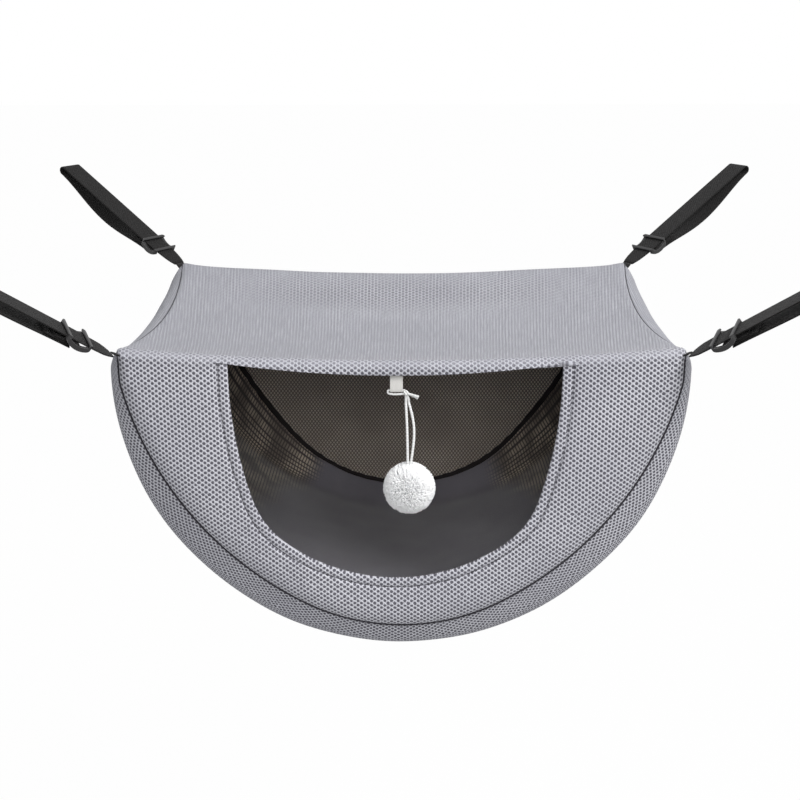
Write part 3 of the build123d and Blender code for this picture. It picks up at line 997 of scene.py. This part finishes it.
# Hem round the doorway's sides and bottom: the cloth turned back on itself, with a stitched groove
hem_forward = 0.2
hem_stitch_forward = 1.2
hem_fold_start = 0.6
hem_fold_width = 2.6
hem_middle = front_face + mesh_thickness / 2 - hem_forward


def hem_face(x, z):
    return hem_middle - rolling(x, 9, z, 0.5, 0.05)


def doorway_hem():
    section = []
    for across, rise in superellipse(hem_width / 2, hem_height, 28, 0.6):
        if rise > 0:
            folded = min(1.0, max(0.0, (across - hem_fold_start) / hem_fold_width)) ** 2
            rise -= hem_fold * folded * rise / hem_height
        section.append((across, rise))
    path = []
    for x, z, out_x, out_z in hem_path(hem_width / 2):
        path.append((Vector((x, hem_face(x, z), z)), Vector((out_x, 0, out_z)), Vector((0, -1, 0))))
    points, faces, _ = tube(path, section)
    made = piece("doorway_hem_cloth", points, faces, "air_mesh", ["doorway_hem"],
                 cloth=[(point.x, point.z) for point in points])
    turn_tube(made)
    made.modifiers.new("smooth", "SUBSURF").render_levels = 1


# A stitch's thread: share along it, how thick it is, and how far it stands out, in its own radii
stitch_shape = ((0.0, 0.35, -0.8), (0.2, 0.9, 0.0), (0.5, 1.0, 0.35), (0.8, 0.9, 0.0), (1.0, 0.35, -0.8))


def stitches(name, places, length, gap, radius, finish):
    """Short threads along a line of places, each a point and the way out of the cloth there."""
    lengths = running_lengths([point for point, _ in places], 3)

    def at(wanted):
        index, share = span_at(lengths, wanted)
        return places[index][0].lerp(places[index + 1][0], share), places[index][1]

    count = int(lengths[-1] / (length + gap))
    pitch = lengths[-1] / count
    threads = []
    for step in range(count):
        path = []
        for share, thick, rise in stitch_shape:
            wanted = step * pitch + gap / 2 + share * (pitch - gap)
            point, out = at(wanted)
            side = (at(wanted + 0.3)[0] - point).normalized().cross(out).normalized()
            path.append((point + out * rise * radius, side * thick, out * thick))
        threads.append(tube(path, round_section(radius, 6)))
    swept(name, threads, finish)


def hem_stitches():
    places = [(Vector((x, hem_face(x, z) - hem_stitch_forward, z)), Vector((0, -1, 0)))
              for x, z, _, _ in hem_path(stitch_outset)]
    stitches("hem_stitches", places, length=2.4, gap=1.6, radius=0.3, finish="hem_thread")


def front_seam_stitches():
    places, path = [], []
    raised, forward, slope, shade_line_sunk = 0.9, 0.3, 0.6, 0.3
    inset = valley_depth - raised
    for x, z, out_x, out_z in resample(front_outline(), 220):
        out = Vector((out_x, -slope, out_z)).normalized()
        place = Vector((x - inset * out_x, front_seam - forward, z - inset * out_z))
        places.append((place, out))
        path.append((place - shade_line_sunk * out, Vector((-out_z, 0, out_x)).cross(out).normalized(), out))
    # A dark tube sunk in the seam's valley under the stitches: painted shade, standing for the valley's shadow.
    swept("front_seam_shade_line", [tube(path, round_section(shade_line_radius, 8))], "seam_thread_and_shade_lines")
    stitches("front_seam_stitches", places, length=2.7, gap=1.2, radius=0.5, finish="seam_thread_and_shade_lines")


def roof_seams():
    """The dark line where each side of the roof meets the band, a tube of painted shade standing for the shadow in
    the seam.
    """
    front_gap, back_gap, inward, sunk = 38.0, 2.0, 0.9, 0.45
    lines = []
    for side in (1, -1):
        path = []
        for step in range(61):
            y = front_seam + front_gap + (back_seam - front_seam - front_gap - back_gap) * step / 60
            x = roof_edge(y) - inward
            centre = Vector((side * x, y, roof_half(y)[1] - shoulder_fall(x, y) - sunk))
            path.append((centre, Vector((1, 0, 0)), Vector((0, 0, 1))))
        lines.append(tube(path, round_section(shade_line_radius, 8)))
    swept("roof_seam_shade_lines", lines, "seam_thread_and_shade_lines")


# Binding inside the back seam: a tape that puckers a little along its stitching
def back_seam_binding():
    section = [point[:4] for point in cross_section(band_arcs(band_back), "below") if point[1] < -binding_top]
    path = []
    forward, tape_half_height = 0.95, 0.8
    pucker_inward, pucker_forward = 0.3, 0.12
    for index, (x, z, out_x, out_z) in enumerate(resample(section, 150)):
        middle = inside_lining + tape_middle + pucker_inward * sin(index * 1.7)
        y = band_back - forward + pucker_forward * sin(index * 2.3)
        centre = Vector((x - middle * out_x, y, z - middle * out_z))
        path.append((centre, Vector((out_x, 0, out_z)), Vector((0, -1, 0))))
    swept("back_seam_tape", [tube(path, superellipse(tape_half, tape_half_height, 16))], "binding_tape",
          ["back_seam_binding"])


# Straps, drawn along, across and up from the strap's face, as in the part
ply = webbing_thickness / 2
bar_middle = -ply - slide_gap - webbing_thickness - bar_gap - bar_thickness / 2
lower_ply_top = bar_middle - bar_thickness / 2 - bar_gap
return_middle = lower_ply_top - webbing_thickness - slide_gap - ply
loop_bend = -return_middle / 2
loop_middle = strap_length - loop_bend - ply

corners = {"front_left": (-1, -1), "front_right": (1, -1), "back_left": (-1, 1), "back_right": (1, 1)}


class StrapFrame:
    """A strap's own directions. The front ones lie turned about their length, faces towards the doorway's side."""

    def __init__(self, side, end):
        plan = radians(front_strap_plan if end < 0 else back_strap_plan)
        rise = radians(front_strap_rise if end < 0 else back_strap_rise)
        out = Vector((side * cos(plan), end * sin(plan), 0))
        self.origin = Vector((side * cabin_width / 2, end * cabin_depth / 2, -hinge_drop)) + out * hinge_out
        self.along = out * cos(rise) + Vector((0, 0, sin(rise)))
        self.up = Vector((0, 0, cos(rise))) - out * sin(rise)
        self.across = self.up.cross(self.along)
        self.lean = side * radians(front_strap_lean) if end < 0 else 0.0

    def turned(self, along):
        """How far the strap has turned about its own length here. It is flat at the corner and at the bar."""
        return Matrix.Rotation(self.lean * ease(along, *lean_comes) * ease(along, *lean_goes), 3, self.along)

    def point(self, along, up):
        middle = self.origin + self.along * along + self.up * bar_middle
        return middle + self.turned(along) @ (self.up * (up - bar_middle))


def webbing_section(width):
    """A flat weave with slightly thicker selvedges."""
    shape = []
    for across, rise in superellipse(width / 2, ply, 24, 0.35):
        edge = exp(-((abs(across) - width / 2 + 1.2) / 0.7) ** 2)
        shape.append((across, rise * (0.9 + 0.1 * edge)))
    return shape


def ribbon(holder, line, width=lambda share: webbing_width, twist=lambda share: 0.0):
    """Webbing along a line of (along, up) pairs in a strap's frame. Width and twist go by the share along it."""
    path, sections = [], []
    last = len(line) - 1
    for index, (along, up) in enumerate(line):
        before, after = line[max(0, index - 1)], line[min(last, index + 1)]
        heading = atan2(after[1] - before[1], after[0] - before[0])
        ahead = holder.along * cos(heading) + holder.up * sin(heading)
        rise = holder.up * cos(heading) - holder.along * sin(heading)
        turn = holder.turned(along) @ Matrix.Rotation(twist(index / last), 3, ahead)
        path.append((holder.point(along, up), turn @ holder.across, turn @ rise))
        sections.append(webbing_section(width(index / last)))
    return tube(path, lambda index: sections[index])


def smooth_line(points, steps):
    """A Catmull-Rom line through the points."""
    made = []
    padded = [points[0]] + list(points) + [points[-1]]
    for first, second, third, fourth in zip(padded, padded[1:], padded[2:], padded[3:]):
        for step in range(steps):
            t = step / steps
            made.append(tuple(
                0.5 * (2 * b + (c - a) * t + (2 * a - 5 * b + 4 * c - d) * t * t + (3 * b - a - 3 * c + d) * t ** 3)
                for a, b, c, d in zip(first, second, third, fourth)))
    return made + [tuple(points[-1])]


def half_turn(middle, up, radius, count, way):
    """Points of a half circle that starts above its middle, without the first."""
    turns = [pi * step / count for step in range(1, count + 1)]
    return [(middle + way * radius * sin(turn), up + radius * cos(turn)) for turn in turns]


def strap(name, side, end):
    holder = StrapFrame(side, end)
    node = "strap_" + name
    line = [(loop_middle * step / 40 - 0.2, 0.0) for step in range(41)]
    line += half_turn(loop_middle, -loop_bend, loop_bend, 12, 1)
    line += [(loop_middle - 2.0, return_middle)]
    pinch = 0.3 if end < 0 else 0.45
    standing = ribbon(holder, line, lambda share: webbing_width * (1 - pinch * exp(-share * 20)))
    swept("strap_webbing_" + name, [standing], "webbing", [node], node)
    # The ply that comes back from the bar hangs a little slack
    start = slider_seat + centre_bar_width
    span = loop_middle - start
    slack, turn = (0.8, radians(4)) if end < 0 else (7.5, radians(9))
    line = []
    for step in range(41):
        share = step / 40
        line.append((start + span * share, return_middle - slack * sin(pi * share) ** 1.6 * (1 - 0.35 * share)))
    returned = ribbon(holder, line, twist=lambda share: side * turn * sin(pi * share) ** 2)
    made = swept("strap_return_" + name, [returned], "webbing", [node], node)
    anchor = holder.point(loop_middle, return_middle) * mm
    (span - slide_reach) / span
    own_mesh(made)


def strap_end(name, side, end):
    turn_radius = bar_thickness / 2 + bar_gap + ply
    turn = -centre_bar_width / 2 + bar_thickness / 2
    top, base = bar_middle + turn_radius, bar_middle - turn_radius
    sewn = base + webbing_thickness
    # Along and up from the slider's seat: the sewn-on ply, the turn round the middle bar, and the ply below
    line = [(17.0, sewn), (13.0, sewn), (9.4, sewn + 0.15), (6.6, (sewn + top) / 2), (3.8, top - 0.1), (turn, top)]
    line = smooth_line(line, 4) + half_turn(turn, bar_middle, turn_radius, 10, -1)
    line += [(turn + (24.0 - turn) * step / 10, base) for step in range(1, 11)]
    fold = ribbon(StrapFrame(side, end), [(slider_seat + along, up) for along, up in line])
    swept("strap_fold_" + name, [fold], "webbing", ["strap_end_" + name], "slider_" + name)


def slider(name, side, end):
    """The back sliders are the part's own. The front ones are turned with their straps, so they are copies."""
    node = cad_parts["slider_" + name]
    if end < 0:
        holder = StrapFrame(side, end)
        middle = Matrix.Translation(holder.point(slider_seat, bar_middle) * mm)
        mesh = node.data.copy()
        mesh.transform(middle @ holder.turned(slider_seat).to_4x4() @ middle.inverted())
        node = add("slider_turned_" + name, mesh)
        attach(node, "slider_" + name)
        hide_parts("slider_" + name)
    node.data.materials.clear()
    node.data.materials.append(materials["slider_plastic"])


def corner_webbing(name, side, end):
    holder = StrapFrame(side, end)
    holder.lean = 0.0
    holder.along = -Vector((holder.along.x, holder.along.y, 0)).normalized() * cos(radians(sewn_dip))
    holder.along -= Vector((0, 0, sin(radians(sewn_dip))))
    holder.up = holder.along.cross(holder.across)
    if holder.up.z < 0:
        holder.up = -holder.up
    # At the front the sewn end lies further in, behind the front's cloth
    further, sink, inward = (1.2, 3.0, 6.0) if end < 0 else (0.0, 1.5, 0.0)
    near = ply + slide_gap + further
    shares = [step / 12 for step in range(13)]
    line = [(near + (sewn_length - near) * share, -sink * ease(share, 0.0, 0.25)) for share in shares]
    points, faces, cloth = ribbon(holder, line, lambda share: sewn_width + (webbing_width - sewn_width) * share)
    sides = len(points) // len(line)
    points = [point + Vector((0, inward * ease(shares[index // sides], 0.0, 0.25), 0))
              for index, point in enumerate(points)]
    swept("corner_webbing_cloth_" + name, [(points, faces, cloth)], "webbing", ["corner_webbing_" + name])


# Toy: tape, cord ring with its double knot and tails, two strands and the pompom
toy_plane = band_front + tape_thickness
knot_middle = Vector((toy_offset + tape_width / 2 + ring_overhang + ring_bend + knot_reach, toy_plane,
                      -(tape_fold_drop + ring_bend)))
sway_middle = knot_middle + Vector((lower_knot_shift, 0, -lower_knot_drop))
pompom_middle = Vector((sway_middle.x + pompom_shift, toy_plane, -pompom_drop))
strand_top = sway_middle.z - lower_knot_radius - 0.3
strand_bottom = pompom_middle.z + pompom_radius - pompom_flat
strand_shares = {
    "left": ((0, 0), (0.10, 0.30), (0.06, 0.66), (0, 1)),
    "right": ((0, 0), (0.62, 0.18), (1, 0.42), (0.72, 0.70), (0, 1)),
}


def framed(points, closed=False):
    """Side and up vectors along a line of points, without twist."""
    path = []
    up = Vector((0, -1, 0))
    for index, point in enumerate(points):
        if closed:
            ahead = points[(index + 1) % len(points)] - points[index - 1]
        else:
            ahead = points[min(index + 1, len(points) - 1)] - points[max(index - 1, 0)]
        ahead.normalize()
        up = up - ahead * up.dot(ahead)
        if up.length < 0.01:
            up = ahead.orthogonal()
        up.normalize()
        path.append((point, ahead.cross(up), up.copy()))
    return path


def bar(start, end, radius):
    """A short straight length of cord."""
    return tube(framed([start.lerp(end, step / 6) for step in range(7)]), round_section(radius, 10))


def toy_strand(name):
    aside = {"left": -1, "right": 1}[name]
    curve = bpy.data.curves.new("toy_strand_" + name, "CURVE")
    curve.dimensions = "3D"
    curve.bevel_depth = cord_thickness / 2 * mm
    curve.bevel_resolution = 4
    curve.resolution_u = 16
    curve.use_fill_caps = True
    points = []
    for out, down in strand_shares[name]:
        x = sway_middle.x + (pompom_middle.x - sway_middle.x) * down + aside * strand_spacing / 2 + strand_bow * out
        points.append(Vector((x, toy_plane, strand_top + down * (strand_bottom - strand_top))) * mm)
    spline = curve.splines.new("NURBS")
    spline.points.add(len(points) - 1)
    for item, point in zip(spline.points, points):
        item.co = (*point, 1)
    spline.order_u = 3
    spline.use_endpoint_u = True
    curve.materials.append(materials["elastic_cord_strand"])
    made = add("toy_strand_" + name, curve)
    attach(made, "toy_pompom")
    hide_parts("toy_cord_" + name)


def toy_tape():
    fold = 1.3
    line = [(-0.27, 12.6), (-0.27, 16.0), (-0.27, 19.5), (-0.9, 22.0), (-fold, 25.0), (-fold, 28.0)]
    line = smooth_line(line, 4)
    path = list(line)
    for step in range(1, 12):
        turn = pi * step / 12
        path.append((-fold * cos(turn), tape_fold_drop + fold * sin(turn)))
    path += [(-y, drop) for y, drop in line[::-1]]
    frames = []
    for index, (y, drop) in enumerate(path):
        before, after = path[max(0, index - 1)], path[min(len(path) - 1, index + 1)]
        ahead = Vector((0, after[0] - before[0], -(after[1] - before[1]))).normalized()
        side = Vector((1, 0, 0))
        frames.append((Vector((toy_offset, toy_plane + y, -drop)), side, side.cross(ahead)))
    section = superellipse(toy_tape_half, tape_thickness / 2, 20, 0.4)
    swept("toy_tape", [tube(frames, section)], "cotton_tape", ["toy_tape_tab"])


def wraps(centre, size, turns, tilt):
    """The cord's turns round itself in the knot."""
    line = []
    for step in range(turns * 24 + 1):
        turn = 2 * pi * step / 24
        share = step / (turns * 24)
        reach = size * (1 + 0.16 * cos(1.5 * turn))
        place = Vector((reach * cos(turn), reach * sin(turn), size * 0.75 * (2 * share - 1) + 0.35 * sin(1.5 * turn)))
        place.rotate(Matrix.Rotation(radians(tilt), 3, "Y"))
        line.append(centre + place)
    return tube(framed(line), round_section(0.8, 10))


def toy_ring():
    """The cord's small loop through the tape's fold, its double knot, and the two ends cut short."""
    half = toy_tape_half + 0.3
    bend = 1.35
    high = -tape_fold_drop
    line = []
    for side, level, forward, drop in ((1, high, 0.0, 0.0), (-1, high - 2 * bend, 0.4, 0.35)):
        for step in range(6):
            line.append(Vector((toy_offset + side * (2 * half * step / 6 - half), toy_plane - forward,
                                level - drop * sin(pi * step / 6))))
        for step in range(12):
            turn = pi * step / 12
            line.append(Vector((toy_offset + side * (half + bend * sin(turn)), toy_plane,
                                level - side * bend * (1 - cos(turn)))))
    points, faces, cloth = tube(framed(line, closed=True), round_section(0.75), closed_ends=False)
    last = len(points) - 12
    faces += [[last + side, last + (side + 1) % 12, (side + 1) % 12, side] for side in range(12)]
    tubes = [(points, faces, cloth), wraps(knot_middle, size=1.45, turns=3, tilt=70)]
    for slope, splay in zip(tail_slopes, (-tail_splay, tail_splay)):
        line = []
        for step in range(9):
            share = step / 8
            away = tail_length * share
            x = away * cos(radians(slope)) * cos(radians(splay))
            y = away * cos(radians(slope)) * sin(radians(splay))
            z = -away * sin(radians(slope)) - 0.7 * share * share
            line.append(knot_middle + Vector((x, y, z)))
        tubes.append(tube(framed(line), lambda index: round_section(0.98 if index > 6 else 0.82, 10)))
    for aside in (-1, 1):
        start = knot_middle + Vector((0.5 * aside, 0, -0.6))
        tubes.append(bar(start, sway_middle + Vector((0.95 * aside, 0, -0.3)), 0.86))
    swept("toy_ring_and_knot", tubes, "elastic_cord", ["toy_cord_ring"], "toy_ring")


def toy_strand_tops():
    """The first few millimetres of both strands, above which the toy sways."""
    tubes = []
    for aside in (-1, 1):
        end = Vector((sway_middle.x + aside * strand_spacing / 2, toy_plane, strand_top - 0.4))
        tubes.append(bar(sway_middle + Vector((0.95 * aside, 0, 0.2)), end, 0.88))
    swept("toy_strand_tops", tubes, "elastic_cord", body="toy_pompom")


def scatter(size):
    return Vector([random.gauss(0, size) for _ in range(3)])


# Pompom: yarn ends that stand out all round from a tied middle, cut to a ball
def pompom():
    random.seed(11)
    core = 11.0
    count = 6500
    points, faces, cloth = [], [], []
    golden = pi * (3 - sqrt(5))
    for index in range(count):
        height = 1 - 2 * (index + 0.5) / count
        around = golden * index
        flat = sqrt(1 - height * height)
        out = Vector((flat * cos(around), flat * sin(around), height))
        out = (out + scatter(0.16)).normalized()
        clump = 0.9 * noise.noise(out * 5.0)
        tip = pompom_radius * (0.965 + 0.035 * random.random()) + min(0.0, clump) * 1.6
        bend = scatter(1) * 0.9
        bend -= out * bend.dot(out)
        side = out.orthogonal().normalized()
        other = out.cross(side)
        start = len(points)
        for share, thick in ((0.0, 0.5), (0.45, 0.48), (0.8, 0.42), (1.0, 0.24)):
            centre = out * (core + (tip - core) * share) + bend * share * share
            for turn in range(3):
                angle = 2 * pi * turn / 3 + index
                points.append(pompom_middle + centre + (side * cos(angle) + other * sin(angle)) * thick)
                cloth.append((share, 0.0))
        faces += grid_faces(4, 3, start, closed=True)
        faces.append([start + 9, start + 10, start + 11])
    # A tied core fills the middle, so that nothing shows between the yarn ends
    rings, around = 14, 24
    start = len(points)
    for row in range(rings + 1):
        slope = pi * row / rings
        for turn in range(around):
            angle = 2 * pi * turn / around
            reach = core + 3.2 + 0.8 * sin(5 * angle) * sin(4 * slope)
            points.append(pompom_middle + Vector((reach * sin(slope) * cos(angle), reach * sin(slope) * sin(angle),
                                                  reach * cos(slope))))
            cloth.append((0.25, 0.0))
    faces += grid_faces(rings + 1, around, start, closed=True)
    piece("pompom_yarn_ball", points, faces, "pompom_yarn", ["pompom"], "toy_pompom", cloth)


# Camera: at the height and distance that the photograph's lines meet at
camera_data = bpy.data.cameras.new("camera")
camera_data.lens = 63.0
camera_data.sensor_width = 36.0
camera_place = Vector((7.5, -1086.9, 257.9))
camera_heading, camera_tilt, camera_roll = 0.5, -17.44, -0.15
camera = add("camera", camera_data)
camera.matrix_world = (
    Matrix.Translation(camera_place * mm) @ Matrix.Rotation(radians(camera_heading), 4, "Z")
    @ Matrix.Rotation(radians(90 + camera_tilt), 4, "X") @ Matrix.Rotation(radians(camera_roll), 4, "Z"))
bpy.context.scene.camera = camera
bpy.context.scene.view_settings.view_transform = "Standard"


def area_light(name, place, target, size, power):
    data = bpy.data.lights.new(name, "AREA")
    data.shape = "DISK"
    data.size = size
    data.energy = power
    light = add(name, data)
    light.location = place
    light.rotation_euler = (Vector(target) - Vector(place)).to_track_quat("-Z", "Y").to_euler()


area_light("key", (1.2, -1.0, 1.5), cabin_middle, size=1.0, power=44)
area_light("fill", (-1.1, -1.3, 1.1), cabin_middle, size=1.2, power=6)
area_light("doorway", (0.1, -1.3, 0.5), (0, 0.05, -0.14), size=0.6, power=5.5)
area_light("top", (0.1, 0.3, 1.6), cabin_middle, size=1.6, power=1)


def white_to_camera(nodes, shaded, white, output):
    """What the camera or a reflection sees is white, and what lights the object isn't."""
    camera_ray, glossy_ray, through_ray = [
        nodes.make("ShaderNodeLightPath", output=ray)
        for ray in ("Is Camera Ray", "Is Glossy Ray", "Is Transmission Ray")]
    seen = nodes.maths("MAXIMUM", nodes.maths("MAXIMUM", camera_ray, glossy_ray), through_ray)
    nodes.put(output, nodes.make("ShaderNodeMixShader", (seen, shaded, white)))


world = bpy.data.worlds.new("studio")
bpy.context.scene.world = world
world.use_nodes = True
air = Nodes(world.node_tree)
soft = air.tree.nodes["Background"]
soft.inputs["Color"].default_value = (0.95, 0.97, 1.0, 1.0)
soft.inputs["Strength"].default_value = 0.38
white = air.make("ShaderNodeBackground", {"Color": (1, 1, 1, 1), "Strength": 1.0})
white_to_camera(air, Wire(air, soft.outputs[0]), white, air.tree.nodes["World Output"].inputs["Surface"])

floor_mesh = bpy.data.meshes.new("floor")
floor_reach, floor_height = 8, -0.62
floor_corners = [(x * floor_reach, y * floor_reach, floor_height) for x, y in ((-1, -1), (1, -1), (1, 1), (-1, 1))]
floor_mesh.from_pydata(floor_corners, [], [(0, 1, 2, 3)])
floor = add("floor", floor_mesh)
ground = Shader("floor")
ground.set("Base Color", (0.6, 0.6, 0.6, 1))
ground.set("Roughness", 0.8)
shaded = Wire(ground, ground.surface.outputs[0])
glow = ground.make("ShaderNodeEmission", {"Color": (1, 1, 1, 1)})
glow_share = 0.985
lit = ground.make("ShaderNodeMixShader", (glow_share, shaded, glow))
white_to_camera(ground, shaded, lit, ground.tree.nodes["Material Output"].inputs["Surface"])
floor_mesh.materials.append(ground.material)

toy_strand("left")
toy_strand("right")
toy_tape()
toy_ring()
toy_strand_tops()
pompom()
roof_and_front()
shell_band()
shell_lining()
floor_pad()
back_panel()
doorway_hem()
hem_stitches()
front_seam_stitches()
roof_seams()
back_seam_binding()
for name, (side, end) in corners.items():
    corner_webbing(name, side, end)
    strap(name, side, end)
    strap_end(name, side, end)
    slider(name, side, end)
